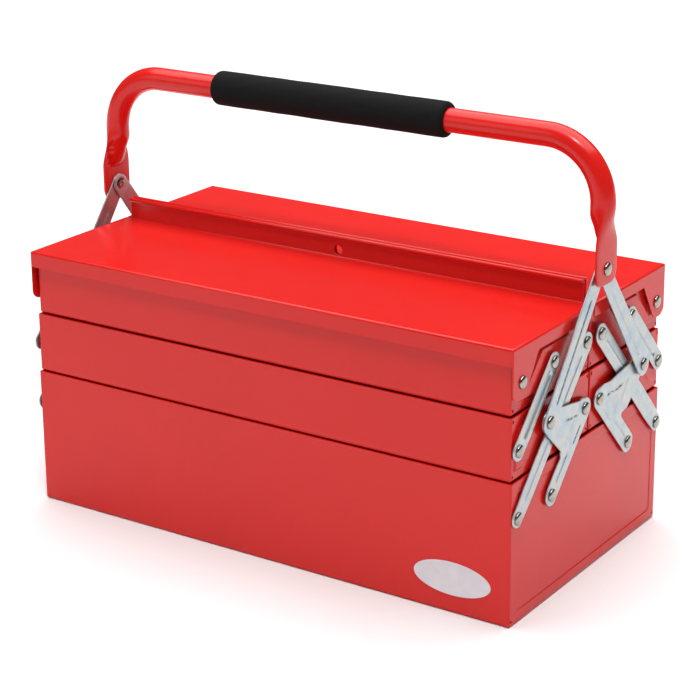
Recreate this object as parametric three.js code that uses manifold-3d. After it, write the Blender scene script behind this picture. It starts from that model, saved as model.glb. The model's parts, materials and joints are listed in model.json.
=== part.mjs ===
// Cantilever toolbox with five trays: a deep base, two middle trays, two lidded top trays, and a
// carrying handle that hangs on lift arms. Millimetres, +Z up, origin at the middle of the underside.
// +X is the right end, -Y the front. The two ends and the two halves are mirror images, apart from
// the lift arms: at each end one arm lies over the other, so the ends match by a half turn.
import * as THREE from "three";
import { mergeVertices } from "three/addons/utils/BufferGeometryUtils.js";
import Module from "manifold-3d";

const wasm = await Module();
wasm.setup();

// ---- Driving dimensions ----
const BODY_LENGTH = 420;
const BODY_WIDTH = 225;
const BASE_HEIGHT = 106.5;
const MID_TRAY_TOP = 153.5;
const LID_TOP = 204;
const SHEET = 0.9;
const GAP = 0.3;
const TRAY_GAP = 0.5; // a tray's floor stands this far off the rim below it
const CENTRE_GAP = 0.9; // half the space between the front and rear trays
const HEM_DEPTH = 5.5;

// Half sizes and heights of each sheet-metal box.
const BASE = {
  halfX: BODY_LENGTH / 2,
  yOuter: BODY_WIDTH / 2,
  zLow: 0,
  zHigh: BASE_HEIGHT,
  corner: 1.6,
};
const MID = {
  halfX: BASE.halfX - 1.2,
  yOuter: BASE.yOuter - 0.7,
  zLow: BASE_HEIGHT + TRAY_GAP,
  zHigh: MID_TRAY_TOP,
  corner: 2.6,
};
const TOP = {
  halfX: BASE.halfX - 2.4,
  yOuter: BASE.yOuter - 1.8,
  zLow: MID_TRAY_TOP + TRAY_GAP,
  zHigh: LID_TOP - SHEET - 1.8, // low enough for the front rim to pass under the turning lid
  corner: 2.6,
};
const LID = {
  halfX: BASE.halfX + 1,
  yOuter: BASE.yOuter + 2.3,
  corner: 1.8,
  frontSkirt: 12.5,
  endSkirt: 10,
  earDepth: 39,
};
const FLANGE = { halfX: LID.halfX - 7.5, height: 17.5, beadRadius: 1.7, setback: 1.1 };
const PADLOCK = { radius: 3.8, x: -3.6, z: LID_TOP + 5.4 };
const END_PANEL = { frame: 9.5, corner: 4, dent: 0.5 }; // the shallow field in each end of the base

// The pivots of the front half in (y, z). Each tray hangs on two equal parallel links.
const STEP = { y: 47.6, z: 49.2 };
const LONG_FOOT = { y: -106.3, z: 80.5 };
const LONG_MIDDLE = { y: LONG_FOOT.y + STEP.y, z: LONG_FOOT.z + STEP.z };
const LONG_HEAD = { y: LONG_FOOT.y + 2 * STEP.y, z: LONG_FOOT.z + 2 * STEP.z };
const CRANK_FOOT = { y: LONG_FOOT.y + STEP.y, z: LONG_FOOT.z };
const CRANK_HEAD = { y: CRANK_FOOT.y + STEP.y, z: CRANK_FOOT.z + STEP.z };
const CRANK_ARM = { y: -70, z: 139.2 };
const SHORT_FOOT = { y: LONG_FOOT.y, z: LONG_FOOT.z + STEP.z };
const SHORT_HEAD = { y: SHORT_FOOT.y + STEP.y, z: SHORT_FOOT.z + STEP.z };
const HANDLE_PIVOT = { y: 0, z: 231 };
const LID_PIVOT = { y: -101.8, z: 177.5 };

// Layers along X at each end, from the end wall outward.
const LINK = 1.2; // thickness of the plated links
const LAYER_LINK = BASE.halfX + 0.9;
const LAYER_CRANK_ARM = LAYER_LINK + LINK + 1.2;
const LAYER_INNER_ARM = LAYER_CRANK_ARM + LINK + GAP;
const LAYER_OUTER_ARM = LAYER_INNER_ARM + LINK + GAP;
const LAYER_STRAP = LAYER_OUTER_ARM + LINK + GAP;
const RADIUS = { long: 7.8, short: 7.2, crank: 8, arm: 9.2 };

// Rivets and the holes they run in.
const SHANK = 2.4;
const HOLE = 2.8;
const OPEN_HOLE = 4.4; // the rear lift arms' upper holes, wide enough to let the arms find each other
const HEAD = { radius: 4.7, height: 1.9 };
const TAIL = { radius: 3.9, height: 0.9 };
const LOW_HEAD = { radius: 4.2, height: 0.7 }; // the long link's own head at its middle pivot
const SHOULDER = 4.4; // radius of the collar where two plates stand apart
const RIVET_SIDES = 8;
const HOLE_SIDES = 10;

// The handle: one bent tube with flattened ends, and a foam sleeve.
const TUBE = { radius: 9, wall: 1.1, topZ: 321, x: 215.5, bend: 44 };
const STRAP = {
  halfWidth: 15,
  halfThick: 1.2,
  x: LAYER_STRAP + 1.2,
  below: 11,
  flatUpTo: 16,
  roundFrom: 42,
};
const GRIP = { radius: 13.3, bore: 9.3, length: 206, centreX: -11, endRound: 3.4 };
const BADGE = { x: 164, z: 26, halfX: 31, halfZ: 12.5, thick: 0.4 };

// The small holes where the folds meet at the lower corners of the ends.
const RELIEF = { radius: 0.9, inset: 2.4, rise: 4 };

// ---- Geometry helpers ----
// The part of a closed outline where a linear measure of its points is not negative.
function clipped(outline, measure) {
  return outline.flatMap((p, i) => {
    const q = outline[(i + 1) % outline.length];
    const [dp, dq] = [measure(p), measure(q)];
    const kept = dp >= 0 ? [p] : [];
    if (dp * dq < 0) {
      const t = dp / (dp - dq);
      kept.push({ y: p.y + t * (q.y - p.y), z: p.z + t * (q.z - p.z) });
    }
    return kept;
  });
}

function toSolid(geometry) {
  const bare = geometry.index ? geometry.clone() : geometry;
  bare.deleteAttribute("normal");
  bare.deleteAttribute("uv");
  const merged = mergeVertices(bare, 1e-4);
  const mesh = new wasm.Mesh({
    numProp: 3,
    vertProperties: new Float32Array(merged.attributes.position.array),
    triVerts: new Uint32Array(merged.index.array),
  });
  return new wasm.Manifold(mesh);
}

function toGeometry(solid) {
  const mesh = solid.getMesh();
  const geometry = new THREE.BufferGeometry();
  geometry.setAttribute("position", new THREE.BufferAttribute(mesh.vertProperties, 3));
  geometry.setIndex(new THREE.BufferAttribute(mesh.triVerts, 1));
  return geometry;
}

// The same solid turned over about the plane across one axis, with its faces still pointing out.
function mirrored(solid, axis) {
  const geometry = toGeometry(solid);
  const position = geometry.attributes.position;
  for (let i = 0; i < position.count; i += 1) {
    position.setComponent(i, axis, -position.getComponent(i, axis));
  }
  const index = geometry.index.array;
  for (let i = 0; i < index.length; i += 3) {
    const second = index[i + 1];
    index[i + 1] = index[i + 2];
    index[i + 2] = second;
  }
  return toSolid(geometry);
}

const placed = (solid, side, half) => {
  const turned = side < 0 ? mirrored(solid, 0) : solid;
  return half > 0 ? mirrored(turned, 1) : turned;
};

// A closed skin through rings of equal point count, capped flat at both ends.
function loft(rings) {
  const count = rings[0].length;
  const positions = rings.flat().flatMap((p) => [p.x, p.y, p.z]);
  const index = [];
  for (let r = 0; r + 1 < rings.length; r += 1) {
    for (let i = 0; i < count; i += 1) {
      const a = r * count + i;
      const b = r * count + ((i + 1) % count);
      index.push(a, b, b + count, a, b + count, a + count);
    }
  }
  const cap = (ring, offset, flip) => {
    const normal = new THREE.Vector3();
    ring.forEach((p, i) => normal.add(new THREE.Vector3().crossVectors(p, ring[(i + 1) % count])));
    normal.normalize();
    const across = new THREE.Vector3(0, 0, 1);
    if (Math.abs(normal.z) > 0.9) across.set(1, 0, 0);
    const u = new THREE.Vector3().crossVectors(across, normal).normalize();
    const v = new THREE.Vector3().crossVectors(normal, u);
    const flat = ring.map((p) => new THREE.Vector2(p.dot(u), p.dot(v)));
    THREE.ShapeUtils.triangulateShape(flat, []).forEach(([a, b, c]) => {
      const [second, third] = flip ? [c, b] : [b, c];
      index.push(offset + a, offset + second, offset + third);
    });
  };
  cap(rings[0], 0, true);
  cap(rings[rings.length - 1], (rings.length - 1) * count, false);
  const geometry = new THREE.BufferGeometry();
  geometry.setAttribute("position", new THREE.Float32BufferAttribute(positions, 3));
  geometry.setIndex(index);
  const solid = toSolid(geometry);
  return solid.volume() < 0 ? toSolid(turnedInsideOut(geometry)) : solid;
}

function turnedInsideOut(geometry) {
  const index = [...geometry.index.array];
  for (let i = 0; i < index.length; i += 3) [index[i], index[i + 1]] = [index[i + 1], index[i]];
  geometry.setIndex(index);
  return geometry;
}

// A prism along X: an outline of {y, z} points between two X planes.
const alongX = (outline, x0, x1) =>
  loft([x0, x1].map((x) => outline.map((p) => new THREE.Vector3(x, p.y, p.z))));
const alongY = (outline, y0, y1) =>
  loft([y0, y1].map((y) => outline.map((p) => new THREE.Vector3(p.x, y, p.z))));
const block = (x0, x1, y0, y1, z0, z1) =>
  alongX([{ y: y0, z: z0 }, { y: y1, z: z0 }, { y: y1, z: z1 }, { y: y0, z: z1 }], x0, x1);

// Points of an arc in a plane, as [first, second] coordinates.
function arc(a, b, radius, from, to, steps) {
  return Array.from({ length: steps + 1 }, (_, i) => {
    const t = from + ((to - from) * i) / steps;
    return [a + radius * Math.cos(t), b + radius * Math.sin(t)];
  });
}

const cylinderX = (pivot, radius, x0, x1, sides = HOLE_SIDES) => {
  const ring = arc(pivot.y, pivot.z, radius / Math.cos(Math.PI / sides), 0, 2 * Math.PI, sides);
  return alongX(ring.slice(0, -1).map(([y, z]) => ({ y, z })), x0, x1);
};

// The outline round two circles: a bar with round ends.
function barOutline(a, b, radiusA, radiusB, steps = 6) {
  const length = Math.hypot(b.y - a.y, b.z - a.z);
  const heading = Math.atan2(b.z - a.z, b.y - a.y);
  const tilt = Math.acos((radiusA - radiusB) / length);
  const endB = arc(b.y, b.z, radiusB, heading - tilt, heading + tilt, steps);
  const endA = arc(a.y, a.z, radiusA, heading + tilt, heading + 2 * Math.PI - tilt, steps);
  return [...endB, ...endA].map(([y, z]) => ({ y, z }));
}

// ---- Sheet-metal boxes ----
// A box outline with rounded lower corners, grown inward by inset.
function trough(low, high, zLow, zHigh, radius) {
  const steps = 3;
  const left = arc(low + radius, zLow + radius, radius, Math.PI, 1.5 * Math.PI, steps);
  const right = arc(high - radius, zLow + radius, radius, 1.5 * Math.PI, 2 * Math.PI, steps);
  return [[high, zHigh], [low, zHigh], ...left, ...right];
}

// A block with its lower edges rounded: halfX in X, yLow to yHigh in Y.
function pan(halfX, yLow, yHigh, zLow, zHigh, radius) {
  const acrossY = trough(yLow, yHigh, zLow, zHigh, radius).map(([y, z]) => ({ y, z }));
  const acrossX = trough(-halfX, halfX, zLow, zHigh, radius).map(([x, z]) => ({ x, z }));
  return alongX(acrossY, -halfX, halfX).intersect(alongY(acrossX, yLow, yHigh));
}

// An open box of folded sheet, whose rim is a hem folded inward to double thickness.
function openBox(box, yHigh) {
  const yLow = -box.yOuter;
  const floor = box.zLow + SHEET;
  const hemStart = box.zHigh - HEM_DEPTH;
  const inner = box.corner - SHEET + 0.2;
  const cavity = pan(box.halfX - SHEET, yLow + SHEET, yHigh - SHEET, floor, hemStart, inner);
  const hem = 2 * SHEET;
  const mouthX = box.halfX - hem;
  const mouth = block(-mouthX, mouthX, yLow + hem, yHigh - hem, hemStart - 1, box.zHigh + 1);
  const outside = pan(box.halfX, yLow, yHigh, box.zLow, box.zHigh, box.corner);
  return outside.subtract(cavity).subtract(mouth);
}

// A slanted pad, its sides parallel to the links: centred in y at zRef, grown by grow on every side,
// and kept off the front corner of its tray.
function padOutline(pad, grow) {
  const lean = STEP.y / STEP.z;
  const side = grow * Math.hypot(1, lean);
  const at = (z, edge) => pad.y + (z - pad.zRef) * lean + edge;
  const low = pad.zLow - grow;
  const high = pad.zHigh + grow;
  const slanted = [
    { y: at(low, -pad.half - side), z: low },
    { y: at(low, pad.half + side), z: low },
    { y: at(high, pad.half + side), z: high },
    { y: at(high, -pad.half - side), z: high },
  ];
  return clipped(slanted, (p) => p.y - (pad.yMin - grow));
}

// Presses outlines out of an end wall at both ends: raised is positive outward, negative inward.
function pressed(shell, wall, outlineAt, raised, slope) {
  const over = 0.2;
  const ring = (x, grow) => outlineAt(grow).map((p) => new THREE.Vector3(x, p.y, p.z));
  const [footAt, footGrow, topGrow] = raised > 0 ? [-over, 0, -slope] : [over, slope, 0];
  const frustum = (side, from) =>
    loft([ring(side * (from + footAt), footGrow), ring(side * (from + raised), topGrow)]);
  return [1, -1].reduce((made, side) => {
    const outer = frustum(side, wall);
    const inner = frustum(side, wall - SHEET);
    return raised > 0 ? made.add(outer).subtract(inner) : made.add(inner).subtract(outer);
  }, shell);
}

// Holes for rivets through both end walls.
function drilled(shell, wall, pivots) {
  return pivots.reduce((made, pivot) => {
    const right = cylinderX(pivot, SHANK + GAP, wall - 6, wall + 6);
    return made.subtract(right).subtract(mirrored(right, 0));
  }, shell);
}

// The small relief holes at the lower corners of an end wall, where the folds meet, and where asked
// a short slot under the rim at its upper corners.
function relieved(shell, box, yHigh, slotted) {
  const columns = [-box.yOuter + RELIEF.inset, yHigh - RELIEF.inset];
  const holes = columns.map((y) => ({ y, z: box.zLow + RELIEF.rise }));
  const cuts = holes.map((hole) => cylinderX(hole, RELIEF.radius, box.halfX - 3, box.halfX + 3, 6));
  const slots = columns.map((y) => {
    const from = { y, z: box.zHigh - 3.4 };
    const to = { y, z: box.zHigh - 1.9 };
    return alongX(barOutline(from, to, RELIEF.radius, RELIEF.radius, 3), box.halfX - 3, box.halfX + 3);
  });
  return [...cuts, ...(slotted ? slots : [])].reduce(
    (made, cut) => made.subtract(cut).subtract(mirrored(cut, 0)),
    shell,
  );
}

function makeBase() {
  const pivots = [LONG_FOOT, CRANK_FOOT];
  const rear = pivots.map((p) => ({ y: -p.y, z: p.z }));
  const panel = (grow) => {
    const y = BASE.yOuter - END_PANEL.frame + grow;
    const low = END_PANEL.frame - grow;
    const high = BASE.zHigh - HEM_DEPTH - 3.5 + grow;
    const r = END_PANEL.corner;
    return [
      ...arc(y - r, low + r, r, -Math.PI / 2, 0, 3),
      [y, high],
      [-y, high],
      ...arc(-y + r, low + r, r, Math.PI, 1.5 * Math.PI, 3),
    ].map(([a, b]) => ({ y: a, z: b }));
  };
  const shell = pressed(openBox(BASE, BASE.yOuter), BASE.halfX, panel, -END_PANEL.dent, 1.2);
  return drilled(relieved(shell, BASE, BASE.yOuter, false), BASE.halfX, [...pivots, ...rear]);
}

// A middle or top tray of the front half, with a pad pressed out behind its short link.
function makeTray(box, pad, pivots, slotted) {
  const shell = openBox(box, -CENTRE_GAP);
  const padded = pressed(shell, box.halfX, (grow) => padOutline(pad, grow), pad.raised, 1.6);
  return drilled(relieved(padded, box, -CENTRE_GAP, slotted), box.halfX, pivots);
}

const MID_PAD = {
  yMin: -MID.yOuter + 3.5,
  y: SHORT_FOOT.y + 7,
  half: 17,
  zRef: SHORT_FOOT.z,
  zLow: MID.zLow + 7,
  zHigh: MID.zHigh - 8,
  raised: 1,
};
const TOP_PAD = {
  yMin: -TOP.yOuter + 4.6,
  y: SHORT_HEAD.y - 5,
  half: 21,
  zRef: SHORT_HEAD.z,
  zLow: TOP.zLow + 8,
  zHigh: TOP.zHigh - 9,
  raised: 1.6,
};

// ---- Lids ----
// The end of a lid in (y, z): a shallow skirt, and an ear that reaches down to the hinge rivet.
function lidEndOutline() {
  const outer = -LID.yOuter - 1;
  const skirt = LID_TOP - LID.endSkirt;
  const reach = LID_PIVOT.z - 12.5;
  const r = 8;
  const bottomLeft = arc(-LID.yOuter + r, reach + r, r, Math.PI, 1.5 * Math.PI, 4);
  const bottomRight = arc(LID_PIVOT.y - 0.5, reach + r, r, 1.5 * Math.PI, 1.86 * Math.PI, 3);
  const corner = [-LID.yOuter + LID.earDepth - 4, skirt];
  return [
    [outer, LID_TOP + 1],
    [outer, skirt],
    [-LID.yOuter, skirt - 0.5],
    ...bottomLeft,
    ...bottomRight,
    corner,
    [0, skirt],
    [0, LID_TOP + 1],
  ].map(([y, z]) => ({ y, z }));
}

// A block with its upper front and upper end edges rounded.
function cap(halfX, yLow, yHigh, zLow, zHigh, radius) {
  const steps = 3;
  const left = arc(yLow + radius, zHigh - radius, radius, Math.PI, Math.PI / 2, steps);
  const acrossY = [[yHigh, zLow], [yLow, zLow], ...left, [yHigh, zHigh]].map(([y, z]) => ({ y, z }));
  const start = arc(-halfX + radius, zHigh - radius, radius, Math.PI, Math.PI / 2, steps);
  const end = arc(halfX - radius, zHigh - radius, radius, Math.PI / 2, 0, steps);
  const acrossX = [[halfX, zLow], [-halfX, zLow], ...start, ...end].map(([x, z]) => ({ x, z }));
  return alongX(acrossY, -halfX, halfX).intersect(alongY(acrossX, yLow, yHigh));
}

// The standing flange along the centre, with a rolled bead on its top edge.
function lidFlange() {
  const face = -FLANGE.setback;
  const back = face - SHEET;
  const beadZ = LID_TOP + FLANGE.height - FLANGE.beadRadius;
  const bead = arc(face - FLANGE.beadRadius, beadZ, FLANGE.beadRadius, 0, 1.25 * Math.PI, 7);
  const foot = arc(back - 1, LID_TOP + 1, 1, 0, -Math.PI / 2, 2);
  const outline = [
    [face, LID_TOP - SHEET],
    ...bead,
    [back, beadZ - FLANGE.beadRadius * 0.9],
    ...foot,
    [back - 3, LID_TOP],
    [back - 3, LID_TOP - SHEET],
  ].map(([y, z]) => ({ y, z }));
  return alongX(outline, -FLANGE.halfX, FLANGE.halfX);
}

function makeLid() {
  const zLow = LID_PIVOT.z - 20;
  const zSkirt = LID_TOP - LID.frontSkirt;
  const insideX = LID.halfX - SHEET;
  const insideY = -LID.yOuter + SHEET;
  const outside = cap(LID.halfX, -LID.yOuter, -FLANGE.setback, zLow, LID_TOP, LID.corner);
  const inside = cap(insideX, insideY, 5, zLow - 1, LID_TOP - SHEET, LID.corner - SHEET);
  const lowFront = block(-insideX, insideX, -LID.yOuter - 1, 5, zLow - 2, zSkirt);
  const fold = block(-LID.halfX, LID.halfX, -LID.yOuter - 1, insideY, zLow - 1, zSkirt);
  const ends = alongX(lidEndOutline(), -LID.halfX - 1, LID.halfX + 1);
  const ear = alongX(lidEndOutline(), insideX, LID.halfX);
  const shell = outside.subtract(inside).subtract(lowFront).subtract(fold).intersect(ends);
  const lowEar = ear.intersect(block(0, LID.halfX + 1, -LID.yOuter, 0, zLow, zSkirt + 1));
  const earred = shell.add(lowEar).add(mirrored(lowEar, 0)).add(lidFlange());
  const ring = arc(PADLOCK.x, PADLOCK.z, PADLOCK.radius, 0, 2 * Math.PI, HOLE_SIDES).slice(0, -1);
  const padlock = alongY(ring.map(([x, z]) => ({ x, z })), -10, 5);
  const hinge = cylinderX(LID_PIVOT, HOLE, LID.halfX - 4, LID.halfX + 4);
  return earred.subtract(padlock).subtract(hinge).subtract(mirrored(hinge, 0));
}

// ---- Links ----
const plate = (outline, x) => alongX(outline, x, x + LINK);
const pierced = (solid, pivots, radius = HOLE) =>
  pivots.reduce((made, pivot) => {
    const drill = cylinderX(pivot, radius, BASE.halfX - 5, BASE.halfX + 20);
    return made.subtract(drill);
  }, solid);

// The long link carries a low pin at its middle that turns in the middle tray's end wall.
function makeLongLink() {
  const bar = plate(barOutline(LONG_FOOT, LONG_HEAD, RADIUS.long, RADIUS.long), LAYER_LINK);
  const pinFoot = MID.halfX - SHEET - GAP;
  const middle = LAYER_LINK + LINK / 2;
  const pin = cylinderX(LONG_MIDDLE, SHANK, pinFoot - 1, middle);
  const head = cylinderX(LONG_MIDDLE, LOW_HEAD.radius, middle, LAYER_LINK + LINK + LOW_HEAD.height);
  return pierced(bar, [LONG_FOOT, LONG_HEAD]).add(pin).add(head);
}

function makeShortLink() {
  const bar = plate(barOutline(SHORT_FOOT, SHORT_HEAD, RADIUS.short, RADIUS.short), LAYER_LINK);
  return pierced(bar, [SHORT_FOOT, SHORT_HEAD]);
}

// How far a point stands from the crank's straight leg, towards its arm.
function offLeg(point) {
  const length = Math.hypot(STEP.y, STEP.z);
  return (-(point.y - CRANK_FOOT.y) * STEP.z + (point.z - CRANK_FOOT.z) * STEP.y) / length;
}

// The part of an outline where offLeg lies between two distances.
const sliced = (outline, low, high) =>
  clipped(clipped(outline, (p) => offLeg(p) - low), (p) => high - offLeg(p));

// The bell crank: its leg lies in the plane of the other links, and its arm steps outward over
// the long link.
function makeCrank() {
  const stepFrom = 10;
  const stepTo = 16;
  const halfway = { y: CRANK_FOOT.y + 0.52 * STEP.y, z: CRANK_FOOT.z + 0.52 * STEP.z };
  const leg = barOutline(CRANK_FOOT, CRANK_HEAD, RADIUS.crank, RADIUS.crank);
  const upper = barOutline(CRANK_HEAD, CRANK_ARM, RADIUS.crank, RADIUS.crank);
  const lower = barOutline(halfway, CRANK_ARM, RADIUS.crank, RADIUS.crank);
  const web = [CRANK_HEAD, CRANK_ARM, halfway];
  const liftAt = (p) => {
    const share = Math.min(Math.max((offLeg(p) - stepFrom) / (stepTo - stepFrom), 0), 1);
    return LAYER_LINK + share * (LAYER_CRANK_ARM - LAYER_LINK);
  };
  const skin = (outline) =>
    loft([0, LINK].map((up) => outline.map((p) => new THREE.Vector3(liftAt(p) + up, p.y, p.z))));
  const far = 500;
  const zones = [[-far, stepFrom], [stepFrom, stepTo], [stepTo, far]];
  const pieces = [leg, upper, lower, web].flatMap((outline) =>
    zones.map(([low, high]) => sliced(outline, low, high)).filter((zone) => zone.length > 2).map(skin),
  );
  const whole = pieces.reduce((made, piece) => made.add(piece));
  return pierced(whole, [CRANK_FOOT, CRANK_HEAD, CRANK_ARM]);
}

function makeLiftArm(layer, upperHole) {
  const bar = plate(barOutline(CRANK_ARM, HANDLE_PIVOT, RADIUS.arm, RADIUS.arm), layer);
  return pierced(pierced(bar, [CRANK_ARM]), [HANDLE_PIVOT], upperHole);
}

// ---- Rivets ----
// A domed rivet along X: the head outside plateTop, the tail inside wallInner, and a shoulder that
// fills the space between shoulder[0] and shoulder[1] where the plates stand apart.
function makeRivet(pivot, plateTop, wallInner, shoulder = null) {
  const headFoot = plateTop + GAP;
  const tailTop = wallInner - GAP;
  const dome = [
    [0, headFoot + HEAD.height],
    [HEAD.radius * 0.55, headFoot + HEAD.height * 0.8],
    [HEAD.radius, headFoot + HEAD.height * 0.2],
    [HEAD.radius, headFoot],
    [SHANK, headFoot],
  ];
  const collar = shoulder
    ? [[SHANK, shoulder[1]], [SHOULDER, shoulder[1]], [SHOULDER, shoulder[0]], [SHANK, shoulder[0]]]
    : [];
  const tail = [
    [SHANK, tailTop],
    [TAIL.radius, tailTop],
    [TAIL.radius, tailTop - TAIL.height],
    [0, tailTop - TAIL.height],
  ];
  const profile = [...dome, ...collar, ...tail].map(([r, x]) => new THREE.Vector2(r, x));
  const geometry = new THREE.LatheGeometry(profile.reverse(), RIVET_SIDES);
  geometry.applyMatrix4(
    new THREE.Matrix4().makeBasis(
      new THREE.Vector3(0, 1, 0),
      new THREE.Vector3(1, 0, 0),
      new THREE.Vector3(0, 0, -1),
    ),
  );
  geometry.translate(0, pivot.y, pivot.z);
  return toSolid(geometry);
}

// ---- Handle ----
// Stations along half the handle, from the foot of one flattened end to the middle of the bar.
function handleStations() {
  const stations = [];
  const foot = HANDLE_PIVOT.z - STRAP.below;
  const flatTop = HANDLE_PIVOT.z + STRAP.flatUpTo;
  const roundTop = HANDLE_PIVOT.z + STRAP.roundFrom;
  const smooth = (t) => t * t * (3 - 2 * t);
  const station = (x, z, angle, share) => ({ x, z, angle, share });
  for (const [rise, narrow] of [[0, 0.62], [2.2, 0.86], [5, 0.97], [9, 1]]) {
    stations.push({ ...station(STRAP.x, foot + rise, 0, 0), narrow });
  }
  stations.push(station(STRAP.x, flatTop, 0, 0));
  const blendSteps = 5;
  for (let i = 1; i <= blendSteps; i += 1) {
    const share = smooth(i / blendSteps);
    const z = flatTop + ((roundTop - flatTop) * i) / blendSteps;
    stations.push(station(STRAP.x + (TUBE.x - STRAP.x) * share, z, 0, share));
  }
  const bendSteps = 6;
  for (let i = 0; i <= bendSteps; i += 1) {
    const angle = ((Math.PI / 2) * i) / bendSteps;
    const x = TUBE.x - TUBE.bend * (1 - Math.cos(angle));
    const z = TUBE.topZ - TUBE.bend * (1 - Math.sin(angle));
    stations.push(station(x, z, angle, 1));
  }
  return stations;
}

// The tube's section at a station: a circle where share is 1, a flat strap where it is 0.
function handleRing(at, shrink) {
  const sides = 14;
  const halfThick = STRAP.halfThick + (TUBE.radius - STRAP.halfThick) * at.share - shrink;
  const broad = STRAP.halfWidth + (TUBE.radius - STRAP.halfWidth) * at.share;
  const halfWidth = broad * (at.narrow ?? 1) - shrink;
  return Array.from({ length: sides }, (_, i) => {
    const t = (2 * Math.PI * i) / sides;
    const flat = Math.min(Math.max(1.4 * Math.sin(t), -1), 1);
    const out = halfThick * Math.cos(t);
    const y = halfThick * Math.sin(t) + (halfWidth - halfThick) * flat;
    return new THREE.Vector3(at.x + out * Math.cos(at.angle), y, at.z + out * Math.sin(at.angle));
  });
}

function makeHandleTube() {
  const half = handleStations();
  const skin = (shrink, reach) => {
    const right = half.map((at) => handleRing(at, shrink));
    const left = [...right].reverse().map((ring) => ring.map((p) => new THREE.Vector3(-p.x, p.y, p.z)));
    const rings = [...right, ...left];
    if (reach) {
      const drop = (ring) => ring.map((p) => new THREE.Vector3(p.x, p.y, p.z - reach));
      return loft([drop(right[0]), ...rings, drop(left[left.length - 1])]);
    }
    return loft(rings);
  };
  const bore = skin(TUBE.wall, 3);
  const hole = cylinderX(HANDLE_PIVOT, HOLE, STRAP.x - 5, STRAP.x + 5);
  return skin(0, 0).subtract(bore).subtract(hole).subtract(mirrored(hole, 0));
}

function makeGrip() {
  const half = GRIP.length / 2;
  const steps = 4;
  const r = GRIP.endRound;
  const right = arc(GRIP.radius - r, half - r, r, 0, Math.PI / 2, steps);
  const profile = [
    [GRIP.bore, -half],
    ...[...right].reverse().map(([out, x]) => [out, -x]),
    ...right,
    [GRIP.bore, half],
    [GRIP.bore, -half],
  ].map(([out, x]) => new THREE.Vector2(out, x));
  const geometry = new THREE.LatheGeometry(profile, 16);
  geometry.rotateZ(-Math.PI / 2);
  geometry.translate(GRIP.centreX, HANDLE_PIVOT.y, TUBE.topZ);
  return toSolid(geometry);
}

// A blank oval plate on the front of the base.
function makeBadge() {
  const face = -BASE.yOuter - 0.05;
  const oval = Array.from({ length: 32 }, (_, i) => {
    const t = (2 * Math.PI * i) / 32;
    return { x: BADGE.x + BADGE.halfX * Math.cos(t), z: BADGE.z + BADGE.halfZ * Math.sin(t) };
  });
  return alongY(oval, face - BADGE.thick, face);
}

// ---- Materials and assembly ----
const paint = (color) => new THREE.MeshStandardMaterial({ color, roughness: 0.3, metalness: 0 });
const plated = () =>
  new THREE.MeshStandardMaterial({ color: 0xc3c9cd, roughness: 0.35, metalness: 0.9 });
const bright = () => new THREE.MeshStandardMaterial({ color: 0xb5b1a8, roughness: 0.15, metalness: 1 });
const foam = () => new THREE.MeshStandardMaterial({ color: 0x202020, roughness: 0.9, metalness: 0 });
const label = () => new THREE.MeshStandardMaterial({ color: 0xf0f0f0, roughness: 0.4, metalness: 0 });
const RED = 0xd0201c;

const toolbox = new THREE.Group();
function place(name, solid, material) {
  const geometry = toGeometry(solid);
  geometry.computeVertexNormals();
  const mesh = new THREE.Mesh(geometry, material);
  mesh.name = name;
  toolbox.add(mesh);
}

place("base_box", makeBase(), paint(RED));
place("handle_tube", makeHandleTube(), paint(RED));
place("handle_grip", makeGrip(), foam());
place("front_badge", makeBadge(), label());

const midTray = makeTray(MID, MID_PAD, [SHORT_FOOT, LONG_MIDDLE, CRANK_HEAD], true);
const topTray = makeTray(TOP, TOP_PAD, [SHORT_HEAD, LONG_HEAD, LID_PIVOT], false);
const lid = makeLid();
const links = { long_link: makeLongLink(), short_link: makeShortLink(), crank: makeCrank() };

// Each rivet of one end of the front half: its pivot, the outside of what it clamps, the inside of
// the wall, and a shoulder.
const linkTop = LAYER_LINK + LINK;
const baseInside = BASE.halfX - SHEET - END_PANEL.dent;
const midShoulder = [MID.halfX + MID_PAD.raised + GAP, LAYER_LINK - GAP];
const topShoulder = [TOP.halfX + TOP_PAD.raised + GAP, LAYER_LINK - GAP];
const bareTopShoulder = [TOP.halfX + GAP, LAYER_LINK - GAP];
const rivets = {
  long_link_foot_rivet: [LONG_FOOT, linkTop, baseInside],
  crank_foot_rivet: [CRANK_FOOT, linkTop, baseInside],
  short_link_foot_rivet: [SHORT_FOOT, linkTop, MID.halfX - SHEET, midShoulder],
  crank_head_rivet: [CRANK_HEAD, linkTop, MID.halfX - SHEET, midShoulder],
  short_link_head_rivet: [SHORT_HEAD, linkTop, TOP.halfX - SHEET, topShoulder],
  long_link_head_rivet: [LONG_HEAD, linkTop, TOP.halfX - SHEET, bareTopShoulder],
  lid_rivet: [LID_PIVOT, LID.halfX, TOP.halfX - SHEET, [TOP.halfX + GAP, LID.halfX - SHEET - GAP]],
};

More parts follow.
